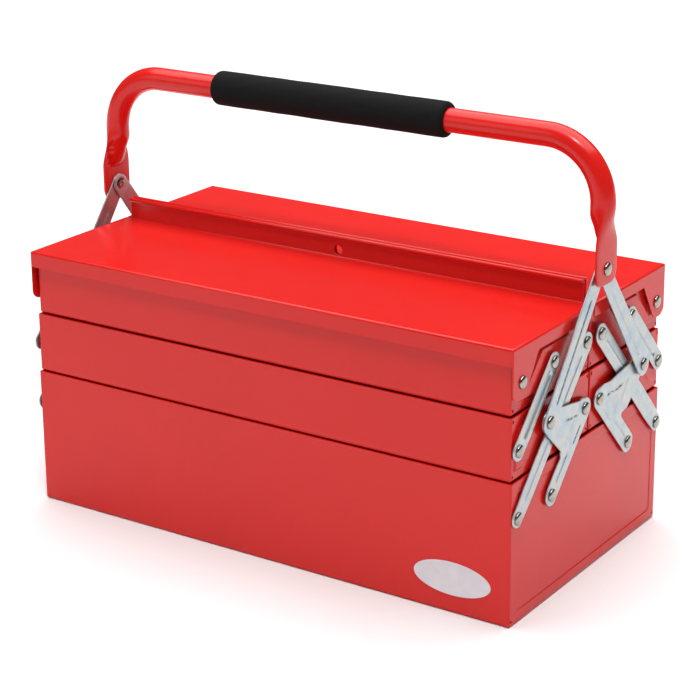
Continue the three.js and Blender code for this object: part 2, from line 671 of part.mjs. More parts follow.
for (const [half, halfName] of [[-1, "front"], [1, "rear"]]) {
  place(`${halfName}_mid_tray`, placed(midTray, 1, half), paint(RED));
  place(`${halfName}_top_tray`, placed(topTray, 1, half), paint(RED));
  place(`${halfName}_lid`, placed(lid, 1, half), paint(RED));
  for (const [side, sideName] of [[1, "right"], [-1, "left"]]) {
    const put = (name, solid, material) =>
      place(`${halfName}_${name}_${sideName}`, placed(solid, side, half), material);
    Object.entries(links).forEach(([name, solid]) => put(name, solid, plated()));
    Object.entries(rivets).forEach(([name, spec]) => put(name, makeRivet(...spec), bright()));
    const outermost = side * half > 0;
    const armLayer = outermost ? LAYER_OUTER_ARM : LAYER_INNER_ARM;
    put("lift_arm", makeLiftArm(armLayer, half > 0 ? OPEN_HOLE : HOLE), plated());
    const armShoulder = outermost ? [LAYER_CRANK_ARM + LINK + GAP, LAYER_OUTER_ARM - GAP] : null;
    put("lift_arm_foot_rivet", makeRivet(CRANK_ARM, armLayer + LINK, LAYER_CRANK_ARM, armShoulder), bright());
  }
}
for (const [side, sideName] of [[1, "right"], [-1, "left"]]) {
  const strapTop = STRAP.x + STRAP.halfThick;
  const rivet = makeRivet(HANDLE_PIVOT, strapTop, LAYER_INNER_ARM);
  place(`handle_pivot_rivet_${sideName}`, placed(rivet, side, -1), bright());
}

export default toolbox;
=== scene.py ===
"""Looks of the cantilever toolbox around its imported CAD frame. Metres, +Z up, -Y the front."""

import json
import math

import bmesh
import bpy
from mathutils import Matrix, Vector
from mathutils.geometry import delaunay_2d_cdt


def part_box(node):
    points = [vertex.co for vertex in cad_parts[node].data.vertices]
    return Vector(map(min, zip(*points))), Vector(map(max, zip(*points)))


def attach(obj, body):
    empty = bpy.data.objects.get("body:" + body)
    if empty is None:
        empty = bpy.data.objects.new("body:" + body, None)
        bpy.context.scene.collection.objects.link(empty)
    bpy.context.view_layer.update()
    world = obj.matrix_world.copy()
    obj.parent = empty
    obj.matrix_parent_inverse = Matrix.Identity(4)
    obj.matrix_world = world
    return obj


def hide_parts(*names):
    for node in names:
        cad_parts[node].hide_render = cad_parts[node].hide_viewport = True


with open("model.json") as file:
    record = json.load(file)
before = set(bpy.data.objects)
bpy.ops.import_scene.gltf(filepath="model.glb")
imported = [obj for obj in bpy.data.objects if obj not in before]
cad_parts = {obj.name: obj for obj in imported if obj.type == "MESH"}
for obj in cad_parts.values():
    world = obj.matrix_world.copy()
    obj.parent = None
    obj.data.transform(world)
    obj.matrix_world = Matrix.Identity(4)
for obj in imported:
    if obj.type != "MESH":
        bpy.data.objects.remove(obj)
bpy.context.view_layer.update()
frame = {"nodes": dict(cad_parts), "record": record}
MM = 0.001
TAU = 2 * math.pi
FRONT, REAR = -1, 1
SIDES = (("right", 1), ("left", -1))
HALVES = (("front", FRONT), ("rear", REAR))


# ---- Positions from the CAD nodes ----
def centre(node):
    low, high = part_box(node)
    return (low + high) / 2


def pivot(node):
    """(y, z) of a rivet's axis, for the front half."""
    c = centre(node)
    return (c.y, c.z)


LONG_FOOT = pivot("front_long_link_foot_rivet_right")
LONG_HEAD = pivot("front_long_link_head_rivet_right")
SHORT_FOOT = pivot("front_short_link_foot_rivet_right")
SHORT_HEAD = pivot("front_short_link_head_rivet_right")
CRANK_FOOT = pivot("front_crank_foot_rivet_right")
CRANK_HEAD = pivot("front_crank_head_rivet_right")
CRANK_ARM = pivot("front_lift_arm_foot_rivet_right")
HANDLE_PIVOT = pivot("handle_pivot_rivet_right")
LONG_MIDDLE = ((LONG_FOOT[0] + LONG_HEAD[0]) / 2, (LONG_FOOT[1] + LONG_HEAD[1]) / 2)


def smooth_step(t):
    """0 to 1 with level ends, held outside that range."""
    t = max(0.0, min(1.0, t))
    return t * t * (3 - 2 * t)


# ---- Node materials ----
NOISE_LOW, NOISE_HIGH = 0.3, 0.7  # the range that most of a noise value falls in


class Nodes:
    """Short ways to add nodes and link them in one material."""

    def __init__(self, name):
        self.material = bpy.data.materials.new(name)
        self.material.use_nodes = True
        self.tree = self.material.node_tree
        self.tree.nodes.clear()
        self.output = self.add("ShaderNodeOutputMaterial")
        self.shader = self.add("ShaderNodeBsdfPrincipled")
        self.link(self.shader, "BSDF", self.output, "Surface")
        self.place = self.add("ShaderNodeTexCoord")

    def add(self, kind):
        return self.tree.nodes.new(kind)

    def link(self, a, out, b, into):
        self.tree.links.new(a.outputs[out], b.inputs[into])

    def noise(self, scale, detail=2.0, rough=0.5, stretch=None):
        node = self.add("ShaderNodeTexNoise")
        node.inputs["Scale"].default_value = scale
        node.inputs["Detail"].default_value = detail
        node.inputs["Roughness"].default_value = rough
        if stretch:
            scaled = self.add("ShaderNodeMapping")
            scaled.inputs["Scale"].default_value = stretch
            self.link(self.place, "Object", scaled, "Vector")
            self.link(scaled, "Vector", node, "Vector")
        else:
            self.link(self.place, "Object", node, "Vector")
        return node

    def ramp(self, source, out, stops):
        node = self.add("ShaderNodeValToRGB")
        ramp = node.color_ramp
        while len(ramp.elements) < len(stops):
            ramp.elements.new(0.5)
        for element, (at, colour) in zip(ramp.elements, stops):
            element.position = at
            element.color = (*colour, 1)
        self.link(source, out, node, "Fac")
        return node

    def colour(self, noise, low, high):
        """The base colour, from one tone to another along a noise value."""
        tones = self.ramp(noise, "Fac", [(NOISE_LOW, low), (NOISE_HIGH, high)])
        self.link(tones, "Color", self.shader, "Base Color")

    def roughness(self, noise, low, high):
        """The roughness, from low to high along a noise value."""
        self.link(self.levels(noise, "Fac", low, high), "Result", self.shader, "Roughness")

    def levels(self, source, out, low, high):
        """A noise value turned into a range."""
        node = self.add("ShaderNodeMapRange")
        node.inputs["From Min"].default_value = NOISE_LOW
        node.inputs["From Max"].default_value = NOISE_HIGH
        node.inputs["To Min"].default_value = low
        node.inputs["To Max"].default_value = high
        self.link(source, out, node, "Value")
        return node

    def bump(self, source, out, strength, distance, under=None):
        node = self.add("ShaderNodeBump")
        node.inputs["Strength"].default_value = strength
        node.inputs["Distance"].default_value = distance
        self.link(source, out, node, "Height")
        if under:
            self.link(under, "Normal", node, "Normal")
        return node

    def set(self, **values):
        for key, value in values.items():
            self.shader.inputs[key.replace("_", " ")].default_value = value


def paint_material():
    """Glossy red stoved enamel: orange peel, slow waviness of the sheet, and dulled patches."""
    n = Nodes("red_enamel")
    n.colour(n.noise(9, 3), (0.68, 0.0105, 0.0075), (0.715, 0.0125, 0.009))
    n.roughness(n.noise(60, 4, 0.6), 0.2, 0.26)
    wave = n.noise(9, 1)
    slow = n.bump(wave, "Fac", 0.06, 0.002)
    peel = n.noise(700, 1.5)
    fine = n.bump(peel, "Fac", 0.05, 0.0001, slow)
    n.link(fine, "Normal", n.shader, "Normal")
    n.set(IOR=1.41)
    return n.material


def zinc_material():
    """Bright zinc plating with a bluish, faintly iridescent passivation and fine drawing marks."""
    n = Nodes("zinc_plate")
    cloud = n.noise(75, 3, 0.55)
    colour = n.ramp(
        cloud,
        "Fac",
        [
            (0.30, (0.40, 0.475, 0.535)),
            (0.46, (0.48, 0.53, 0.555)),
            (0.58, (0.535, 0.545, 0.525)),
            (0.72, (0.43, 0.495, 0.555)),
        ],
    )
    n.link(colour, "Color", n.shader, "Base Color")
    n.roughness(n.noise(180, 4, 0.65), 0.30, 0.46)
    grain = n.noise(900, 2, 0.5, stretch=(1, 1, 0.12))
    n.link(n.bump(grain, "Fac", 0.15, 0.00006), "Normal", n.shader, "Normal")
    n.set(Metallic=0.82)
    return n.material


def rivet_material():
    """Bright domed steel with small dents and a warm tint."""
    n = Nodes("rivet_steel")
    cloud = n.noise(320, 3)
    n.colour(cloud, (0.30, 0.28, 0.25), (0.44, 0.415, 0.375))
    n.roughness(cloud, 0.12, 0.24)
    dents = n.noise(420, 2)
    n.link(n.bump(dents, "Fac", 0.25, 0.0001), "Normal", n.shader, "Normal")
    n.set(Metallic=1.0)
    return n.material


def foam_material():
    """Matt black closed-cell foam with open pores on its skin."""
    n = Nodes("black_foam")
    tone = n.noise(150, 3)
    n.colour(tone, (0.0035, 0.0035, 0.0037), (0.0060, 0.0060, 0.0063))
    cells = n.add("ShaderNodeTexVoronoi")
    cells.inputs["Scale"].default_value = 1500
    n.link(n.place, "Object", cells, "Vector")
    pores = n.bump(cells, "Distance", 0.5, 0.00022)
    lumps = n.noise(260, 3, 0.6)
    n.link(n.bump(lumps, "Fac", 0.4, 0.0004, pores), "Normal", n.shader, "Normal")
    n.roughness(tone, 0.82, 0.93)
    n.set(Specular_IOR_Level=0.2)
    return n.material


def badge_material():
    """Off-white satin label stock with a faint mottle."""
    n = Nodes("blank_label")
    tone = n.noise(120, 3)
    n.colour(tone, (0.72, 0.69, 0.73), (0.79, 0.765, 0.80))
    n.roughness(tone, 0.34, 0.44)
    grain = n.noise(900, 2)
    n.link(n.bump(grain, "Fac", 0.08, 0.00005), "Normal", n.shader, "Normal")
    return n.material


MATERIAL = {
    "red_paint": paint_material(),
    "zinc_plate": zinc_material(),
    "rivet_steel": rivet_material(),
    "foam": foam_material(),
    "badge": badge_material(),
}


# ---- Making pieces ----
def new_object(name, mesh, slot, body, *nodes):
    """A finished piece: it takes a material slot, rides on a body, and stands for CAD nodes."""
    obj = bpy.data.objects.new(name, mesh)
    bpy.context.scene.collection.objects.link(obj)
    mesh.materials.clear()
    mesh.materials.append(MATERIAL[slot])
    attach(obj, body)
    if nodes:
        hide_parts(*nodes)
    return obj


def smooth_by_angle(mesh, degrees):
    """Smooth shading with sharp edges kept where faces meet at more than an angle."""
    mesh.shade_smooth()
    mesh.set_sharp_from_angle(angle=math.radians(degrees))


def mesh_from(bm, name, degrees, recalc=True):
    """The finished mesh, smooth but for edges sharper than the angle in degrees."""
    if recalc:
        bmesh.ops.recalc_face_normals(bm, faces=bm.faces)
    mesh = bpy.data.meshes.new(name)
    bm.to_mesh(mesh)
    bm.free()
    smooth_by_angle(mesh, degrees)
    return mesh


def placed(mesh, side, half):
    """A mesh made for the right end and the front half, turned over for another corner."""
    copy = mesh.copy()
    copy.transform(Matrix.Diagonal((side, -half, 1, 1)))
    if side * -half < 0:
        copy.flip_normals()
    return copy


# ---- Sheet metal ----
SHEET_EDGE = 0.25 * MM  # radius of the paint-softened edges
FOLD_EDGE = 1.0 * MM  # radius of the folds at the upright corners
WELD = 1e-6  # points closer than this are one point
CRUMB = 0.004 * MM  # edges shorter than this are left over from the rounding
FLAT_ANGLE = math.radians(0.6)  # faces that meet at less than this are one flat face
EDGE_ANGLE = math.radians(34)  # faces that meet at more than this have an edge to round
SMALLEST_ROUNDED = 0.8 * MM * MM  # an edge of a smaller face is left sharp
LEVEL = 0.9995  # part of a normal along one axis, for a face square to that axis
TIER_INSET = {"mid_tray": 1.2 * MM, "top_tray": 2.4 * MM}  # how far each tray's ends stand in from the base's


def turn_slivers(bm):
    """Gives each triangle without area a shape, by turning its longest edge in the quad it shares."""
    for _ in range(4):
        slivers = [f for f in bm.faces if f.calc_area() < WELD * WELD]
        if not slivers:
            return
        for face in slivers:
            if not face.is_valid:
                continue
            longest = max(face.edges, key=lambda e: e.calc_length())
            if len(longest.link_faces) == 2:
                bmesh.utils.edge_rotate(longest)


def sheet_metal(node, name, body, folds):
    """The CAD node's sheet with its edges rounded: folds is a test of which edges are sheet folds."""
    bm = bmesh.new()
    bm.from_mesh(frame["nodes"][node].data)
    bmesh.ops.remove_doubles(bm, verts=bm.verts, dist=WELD)
    bmesh.ops.dissolve_limit(
        bm,
        angle_limit=FLAT_ANGLE,
        verts=bm.verts,
        edges=bm.edges,
        delimit=set(),
    )
    for test, width, segments in ((folds, FOLD_EDGE, 4), (None, SHEET_EDGE, 2)):
        edges = [
            e
            for e in bm.edges
            if len(e.link_faces) == 2
            and e.calc_face_angle(0) > EDGE_ANGLE
            and min(f.calc_area() for f in e.link_faces) > SMALLEST_ROUNDED
            and (test is None or test(e))
        ]
        bmesh.ops.bevel(
            bm,
            geom=edges,
            offset=width,
            offset_type="OFFSET",
            segments=segments,
            profile=0.5,
            affect="EDGES",
            clamp_overlap=False,
            miter_outer="ARC",
        )
    bmesh.ops.remove_doubles(bm, verts=bm.verts, dist=CRUMB)
    bmesh.ops.dissolve_degenerate(bm, edges=bm.edges, dist=CRUMB)
    bmesh.ops.triangulate(bm, faces=bm.faces)
    turn_slivers(bm)
    mesh = mesh_from(bm, name, 50, recalc=False)
    for polygon in mesh.polygons:
        if max(abs(c) for c in polygon.normal) > LEVEL:
            polygon.use_smooth = False
    return new_object(name, mesh, "red_paint", body, node)


def upright_corner(half_x, y_out):
    """Tests for the upright edges of a box at its ends, half_x, and at each y in y_out."""
    upright, shortest, near = 0.01 * MM, 4 * MM, 0.05 * MM

    def test(edge):
        a, b = (v.co for v in edge.verts)
        if abs(a.x - b.x) > upright or abs(a.y - b.y) > upright or abs(a.z - b.z) < shortest:
            return False
        return abs(abs(a.x) - half_x) < near and any(abs(a.y - y) < near for y in y_out)

    return test


def make_sheets():
    low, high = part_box("base_box")
    base_end = high.x
    sheet_metal("base_box", "base_shell", "base", upright_corner(base_end, (low.y, high.y)))
    for half, sign in HALVES:
        for tier, tier_inset in TIER_INSET.items():
            node = f"{half}_{tier}"
            low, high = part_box(node)
            test = upright_corner(base_end - tier_inset, (low.y, high.y))
            sheet_metal(node, f"{node}_shell", node, test)
        node = f"{half}_lid"
        low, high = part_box(node)
        outer = low.y if sign == FRONT else high.y
        sheet_metal(node, f"{half}_lid_shell", node, upright_corner(high.x, (outer,)))


# ---- Plates: links, cranks and lift arms ----
PLATE_THICK = 1.2 * MM
PLATE_STEP = 0.9 * MM  # spacing of the points of a plate
ROW_STEP = 0.866 * PLATE_STEP  # spacing of its rows, for even triangles
NEAREST = 0.62 * PLATE_STEP  # points are kept this far from the outline and the holes
EDGE_ROUND = 0.32 * MM
HOLE_SIDES = 28
HOLE_RADIUS = 2.8 * MM
LOOSE_HOLE_RADIUS = 4.4 * MM  # the rear lift arm's upper hole


def turned(v, quarter):
    """A vector turned a quarter to the left, or to the right when quarter is negative."""
    return Vector((-v.y, v.x)) if quarter > 0 else Vector((v.y, -v.x))


def belt(circles, spacing):
    """The outline that wraps counter-clockwise round circles of signed radius.
    A circle of negative radius is a hollow corner."""
    count = len(circles)
    normals = []
    for i in range(count):
        (c, r), (d, s) = circles[i], circles[(i + 1) % count]
        along = Vector(d) - Vector(c)
        tilt = math.asin(max(-1, min(1, (r - s) / along.length)))
        heading = math.atan2(along.y, along.x) + tilt
        normals.append(heading + math.pi / 2)
    points = []
    for i in range(count):
        c, r = circles[i]
        start, stop = normals[i - 1], normals[i]
        sweep = (stop - start) % TAU
        if r < 0:
            sweep = sweep - TAU if sweep > 1e-9 else 0
        steps = max(1, math.ceil(abs(sweep * r) / spacing))
        for k in range(steps + 1):
            t = start + sweep * k / steps
            points.append(Vector((c[0] - r * math.cos(t), c[1] - r * math.sin(t))))
    spaced = []
    for i, p in enumerate(points):
        q = points[(i + 1) % len(points)]
        steps = max(1, math.ceil((q - p).length / spacing))
        if (q - p).length > 1e-7:
            spaced += [p.lerp(q, k / steps) for k in range(steps)]
    return spaced


def circle(c, radius, count):
    angles = [TAU * i / count for i in range(count)]
    return [Vector((c[0] + radius * math.cos(t), c[1] + radius * math.sin(t))) for t in angles]


def outward(ring):
    """Unit normals that point out of a counter-clockwise ring."""
    count = len(ring)
    return [turned((ring[(i + 1) % count] - ring[i - 1]).normalized(), -1) for i in range(count)]


def to_segment(p, a, b):
    """The distance from p to the segment."""
    along = b - a
    t = max(0.0, min(1.0, (p - a).dot(along) / along.length_squared))
    return (p - a - along * t).length


def groove(a, b, half_width, depth):
    """A pressed line from a to b; negative depth is a sunk groove, positive a raised rib."""
    a, b = Vector(a), Vector(b)

    def height(p):
        distance = to_segment(p, a, b) / half_width
        return depth * (0.5 + 0.5 * math.cos(math.pi * distance)) if distance < 1 else 0.0

    return height


def field(corners, slope, depth):
    """A flat-bottomed pressed field inside a convex polygon whose sides slope over a distance."""
    corners = [Vector(c) for c in corners]

    def height(p):
        inside = min(
            turned((corners[(i + 1) % len(corners)] - c).normalized(), 1).dot(p - c)
            for i, c in enumerate(corners)
        )
        return depth * smooth_step(inside / slope)

    return height


def ring_boss(c, inner, outer, depth):
    """A raised or sunk flat disc round a pivot."""
    c = Vector(c)

    def height(p):
        return depth * smooth_step((outer - (p - c).length) / (outer - inner))

    return height


def plate_mesh(name, outline, holes, x_of, presses):
    """A pressed plate: an outline in (y, z) with holes, its inner face at x_of(p), embossed by presses."""
    thick = PLATE_THICK
    inset = [p - n * EDGE_ROUND for p, n in zip(outline, outward(outline))]
    points, edges = [], []

    def add_ring(ring):
        first = len(points)
        points.extend(ring)
        edges.extend((first + i, first + (i + 1) % len(ring)) for i in range(len(ring)))
        return list(range(first, first + len(ring)))

    rings = [(outline, add_ring(inset))]
    hole_rings = []
    for c, radius in holes:
        rim = circle(c, radius, HOLE_SIDES)
        hole_rings.append((rim, add_ring(circle(c, radius + EDGE_ROUND, HOLE_SIDES))))
    low = Vector((min(p.x for p in inset), min(p.y for p in inset)))
    high = Vector((max(p.x for p in inset), max(p.y for p in inset)))
    rows = int((high.y - low.y) / ROW_STEP) + 1
    columns = int((high.x - low.x) / PLATE_STEP) + 2
    for r in range(rows):
        for k in range(columns):
            p = Vector((low.x + (k + 0.5 * (r % 2)) * PLATE_STEP, low.y + r * ROW_STEP))
            if not inside_polygon(p, inset):
                continue
            if min((p - q).length for q in inset) < NEAREST:
                continue
            if any((p - Vector(c)).length < radius + EDGE_ROUND + NEAREST for c, radius in holes):
                continue
            points.append(p)
    fixed, _, faces, *_ = delaunay_2d_cdt(points, edges, [], 0, 1e-9)
    kept = []
    within = 0.985  # a triangle whose middle is closer to a hole's centre than this share is inside it
    for face in faces:
        middle = sum((fixed[i] for i in face), Vector((0, 0))) / 3
        if inside_polygon(middle, inset) and not any(
            (middle - Vector(c)).length < (radius + EDGE_ROUND) * within for c, radius in holes
        ):
            kept.append(face)

    def height(p):
        return x_of(p) + sum(press(p) for press in presses)

    bm = bmesh.new()
    front = [bm.verts.new((height(p) + thick, p.x, p.y)) for p in fixed]
    back = [bm.verts.new((height(p), p.x, p.y)) for p in fixed]
    for face in kept:
        bm.faces.new([front[i] for i in face])
        bm.faces.new([back[i] for i in reversed(face)])
    soft = EDGE_ROUND * 0.3
    rounding = ((0.7, soft), (1.0, EDGE_ROUND), (1.0, thick - EDGE_ROUND), (0.7, thick - soft))
    for rim, ring in rings + hole_rings:
        loops = [[front[i] for i in ring]]
        for share, drop in rounding:
            loop = []
            for p, i in zip(rim, ring):
                q = fixed[i].lerp(p, share)
                loop.append(bm.verts.new((height(fixed[i]) + thick - drop, q.x, q.y)))
            loops.append(loop)
        loops.append([back[i] for i in ring])
        for upper, lower in zip(loops, loops[1:]):
            for i in range(len(ring)):
                j = (i + 1) % len(ring)
                bm.faces.new((upper[i], lower[i], lower[j], upper[j]))
    for v in [v for v in bm.verts if not v.link_faces]:
        bm.verts.remove(v)
    return mesh_from(bm, name, 60)


def inside_polygon(p, ring):
    hit = False
    for i, a in enumerate(ring):
        b = ring[i - 1]
        if (a.y > p.y) != (b.y > p.y) and p.x < (b.x - a.x) * (p.y - a.y) / (b.y - a.y) + a.x:
            hit = not hit
    return hit


def ahead(a, b, distance):
    """The point that lies a distance past a on the way to b."""
    a, b = Vector(a), Vector(b)
    return a + (b - a).normalized() * distance


def beside(a, b, p, offset):
    """p moved sideways, to the left of the way from a to b."""
    return Vector(p) + turned((Vector(b) - Vector(a)).normalized(), 1) * offset


def node_x(node):
    low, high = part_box(node)
    return low.x, high.x


def make_links():
    """The long link, with a raised rib, and the short link, with a sunk channel."""
    inner_x = node_x("front_short_link_right")[0]

    a, b = LONG_FOOT, LONG_HEAD
    foot_radius, body_radius, waist_radius = 6.8 * MM, 7.8 * MM, 7.6 * MM
    outline = belt(
        [
            (a, foot_radius),
            (ahead(a, b, 22 * MM), body_radius),
            (b, body_radius),
            (ahead(b, a, 118 * MM), waist_radius),
        ],
        PLATE_STEP,
    )
    rib = [groove(ahead(a, b, 15 * MM), ahead(b, a, 12 * MM), 1.4 * MM, 0.7 * MM)]
    holes = [(a, HOLE_RADIUS), (b, HOLE_RADIUS)]
    long_link = plate_mesh("long_link", outline, holes, lambda p: inner_x, rib)

    a, b = SHORT_FOOT, SHORT_HEAD
    radius = 7.2 * MM
    outline = belt([(a, radius), (b, radius)], PLATE_STEP)
    channel = [groove(ahead(a, b, 12 * MM), ahead(b, a, 10 * MM), 3.6 * MM, -1.3 * MM)]
    holes = [(a, HOLE_RADIUS), (b, HOLE_RADIUS)]
    short_link = plate_mesh("short_link", outline, holes, lambda p: inner_x, channel)
    return long_link, short_link


CRANK_SPLIT = 0.52  # share of the way up the crank's leg where its arm branches off


def crank_outline():
    """The bell crank's outline: pivots at its foot, head and arm, and a hollow corner between arm and leg."""
    radius, hollow = 8 * MM, 3.2 * MM
    foot, head, arm = Vector(CRANK_FOOT), Vector(CRANK_HEAD), Vector(CRANK_ARM)
    halfway = foot.lerp(head, CRANK_SPLIT)
    leg = (head - foot).normalized()
    branch = (arm - halfway).normalized()
    away = radius + hollow
    p = foot + turned(leg, 1) * away
    q = halfway + turned(branch, 1) * away
    rise = leg.x * branch.y - leg.y * branch.x
    t = ((q - p).x * branch.y - (q - p).y * branch.x) / rise
    corner = p + leg * t
    return belt([(foot, radius), (head, radius), (arm, radius), (corner, -hollow)], PLATE_STEP)


def make_crank():
    """The bell crank: it steps outward from leg to arm, with a sunk web and three grooves."""
    foot, head, arm = Vector(CRANK_FOOT), Vector(CRANK_HEAD), Vector(CRANK_ARM)
    leg = (head - foot).normalized()
    side = turned(leg, 1)
    low, high = node_x("front_crank_right")
    rise = high - low - PLATE_THICK
    start, stop = 10 * MM, 16 * MM

    def lift(p):
        return low + rise * smooth_step(((p - foot).dot(side) - start) / (stop - start))

    def crank_groove(a, b, p, q, offset, half_width):
        return groove(beside(a, b, p, offset), beside(a, b, q, offset), half_width, -0.85 * MM)

    corners = [ahead(head, arm, 13 * MM), ahead(arm, head, 14 * MM), foot.lerp(head, CRANK_SPLIT)]
    middle = sum(corners, Vector((0, 0))) / 3
    web = [middle.lerp(c, 0.9) for c in corners]
    foot_line = (ahead(foot, head, 10 * MM), ahead(foot, head, 31 * MM))
    head_line = (ahead(head, foot, 12 * MM), ahead(head, foot, 27 * MM))
    arm_line = (ahead(head, arm, 12 * MM), ahead(head, arm, 32 * MM))
    presses = [
        field(web, 2.0 * MM, -0.5 * MM),
        crank_groove(foot, head, *foot_line, 1.0 * MM, 1.0 * MM),
        crank_groove(foot, head, *head_line, -2 * MM, 0.95 * MM),
        crank_groove(head, arm, *arm_line, 3.0 * MM, 0.95 * MM),
        ring_boss(arm, 6.2 * MM, 7.0 * MM, 0.25 * MM),
    ]
    holes = [(tuple(p), HOLE_RADIUS) for p in (foot, head, arm)]
    return plate_mesh("crank", crank_outline(), holes, lift, presses)


def make_lift_arm(x_low, upper_hole):
    """A lift arm with one long groove, a little below its middle line."""
    a, b = CRANK_ARM, HANDLE_PIVOT
    outline = belt([(a, 8.8 * MM), (b, 7.6 * MM)], PLATE_STEP)
    offset = -0.6 * MM
    p = beside(a, b, ahead(a, b, 14 * MM), offset)
    q = beside(a, b, ahead(b, a, 24 * MM), offset)
    press = [groove(p, q, 1.1 * MM, -0.95 * MM)]
    holes = [(a, HOLE_RADIUS), (b, upper_hole)]
    return plate_mesh("lift_arm", outline, holes, lambda p: x_low, press)


def make_plates():
    long_link, short_link = make_links()
    crank = make_crank()
    for half, sign in HALVES:
        for side, way in SIDES:
            tag = f"{half}_{{}}_{side}"
            for kind, mesh in (("long_link", long_link), ("short_link", short_link)):
                node = tag.format(kind)
                piece = placed(mesh, way, sign)
                piece.name = node
                new_object(f"{node}_plate", piece, "zinc_plate", f"{half}_{kind}s", node)
            node = tag.format("crank")
            new_object(f"{node}_plate", placed(crank, way, sign), "zinc_plate", f"{half}_cranks", node)
            node = tag.format("lift_arm")
            low, high = node_x(node)
            inner = min(abs(low), abs(high))
            hole = LOOSE_HOLE_RADIUS if sign == REAR else HOLE_RADIUS
            arm = make_lift_arm(inner, hole)
            new_object(f"{node}_plate", placed(arm, way, sign), "zinc_plate", f"{half}_lift_arms", node)


# ---- Rivets ----
HEAD_RADIUS, HEAD_HEIGHT = 4.7 * MM, 1.9 * MM
TAIL_RADIUS, TAIL_HEIGHT = 3.9 * MM, 0.9 * MM
SHANK_RADIUS = 2.4 * MM
MIDDLE_HEAD_RADIUS = 4.2 * MM


def lathe(profile, turns):
    """A closed solid turned about X from (x, radius) points that start and end on the axis."""
    bm = bmesh.new()
    rings = []
    for x, r in profile:
        if r == 0:
            rings.append([bm.verts.new((x, 0, 0))])
        else:
            rings.append([bm.verts.new((x, p.x, p.y)) for p in circle((0, 0), r, turns)])
    for a, b in zip(rings, rings[1:]):
        for i in range(turns):
            j = (i + 1) % turns
            if len(a) == 1:
                bm.faces.new((a[0], b[i], b[j]))
            elif len(b) == 1:
                bm.faces.new((a[i], b[0], a[j]))
            else:
                bm.faces.new((a[i], b[i], b[j], a[j]))
    return bm


def along_x(node):
    """(+1 or -1 for the end of the box, outer distance, inner distance) of a node along X."""
    low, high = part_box(node)
    side = 1 if high.x > 0 else -1
    return side, max(abs(low.x), abs(high.x)), min(abs(low.x), abs(high.x))


def turned_piece(profile, turns, node, side, y, z):
    """The mesh of a profile turned about the axis at (y, z), at the end given by side."""
    bm = lathe(profile, turns)
    for v in bm.verts:
        v.co = Vector((v.co.x * side, v.co.y + y, v.co.z + z))
    return mesh_from(bm, node, 50)


def rivet_piece(node, body):
    """A domed head with a thin brim, a shank, and a flared tail with a dimple, along the CAD rivet's axis."""
    side, outer, inner = along_x(node)
    foot = outer - HEAD_HEIGHT
    brim = 0.12  # share of the head's height that is brim
    steps = 9
    profile = [(outer, 0.0)]
    for i in range(1, steps + 1):
        t = (math.pi / 2) * i / steps
        height = HEAD_HEIGHT * (brim + (1 - brim) * math.cos(t) ** 0.9)
        profile.append((foot + height, HEAD_RADIUS * math.sin(t) ** 0.92))
    profile += [
        (foot + 0.04 * MM, HEAD_RADIUS),
        (foot, HEAD_RADIUS - 0.15 * MM),
        (foot, SHANK_RADIUS),
        (inner + TAIL_HEIGHT, SHANK_RADIUS),
        (inner + TAIL_HEIGHT, TAIL_RADIUS - 0.2 * MM),
        (inner + TAIL_HEIGHT * 0.7, TAIL_RADIUS),
        (inner + TAIL_HEIGHT * 0.15, TAIL_RADIUS * 0.78),
        (inner, TAIL_RADIUS * 0.55),
        (inner + 0.2 * MM, TAIL_RADIUS * 0.36),
        (inner + 0.45 * MM, TAIL_RADIUS * 0.25),
        (inner + 0.5 * MM, 0.0),
    ]
    place = centre(node)
    mesh = turned_piece(profile, 32, node, side, place.y, place.z)
    new_object(f"{node}_dome", mesh, "rivet_steel", body, node)


def middle_rivet(node, body):
    """The low head in the middle of a long link."""
    side, outer, inner = along_x(node)
    y = LONG_MIDDLE[0] if "front" in node else -LONG_MIDDLE[0]
    radius = MIDDLE_HEAD_RADIUS
    profile = [
        (outer, 0.0),
        (outer - 0.03 * MM, radius * 0.5),
        (outer - 0.14 * MM, radius * 0.8),
        (outer - 0.4 * MM, radius),
        (outer - 1.2 * MM, radius),
        (outer - 1.2 * MM, SHANK_RADIUS),
        (inner + 0.1 * MM, SHANK_RADIUS),
        (inner, SHANK_RADIUS - 0.2 * MM),
        (inner, 0.0),
    ]
    mesh = turned_piece(profile, 28, node, side, y, LONG_MIDDLE[1])
    new_object(f"{node}_middle_pin", mesh, "rivet_steel", body)


def make_rivets():
    bodies = frame["record"]["behaviour"]["bodies"]
    for body, members in bodies.items():
        for node in members:
            if "rivet" in node:
                rivet_piece(node, body)
            elif "long_link_" in node:
                middle_rivet(node, body)


# ---- Handle ----
TUBE_RADIUS = 9.0 * MM
TUBE_SIDES = 48
BEND_RADIUS = 44 * MM
STRAP_OUTER = 4.7 * MM  # the flattened foot's outer face, from the tube's axis
STRAP_THICK = 2.4 * MM
STRAP_HALF_WIDTH = 15 * MM
FLAT_UNTIL, ROUND_FROM = 15 * MM, 46 * MM  # heights above the pivot
PLAIN_TUBE = 1.0  # a height above the pivot at which the section is a plain circle


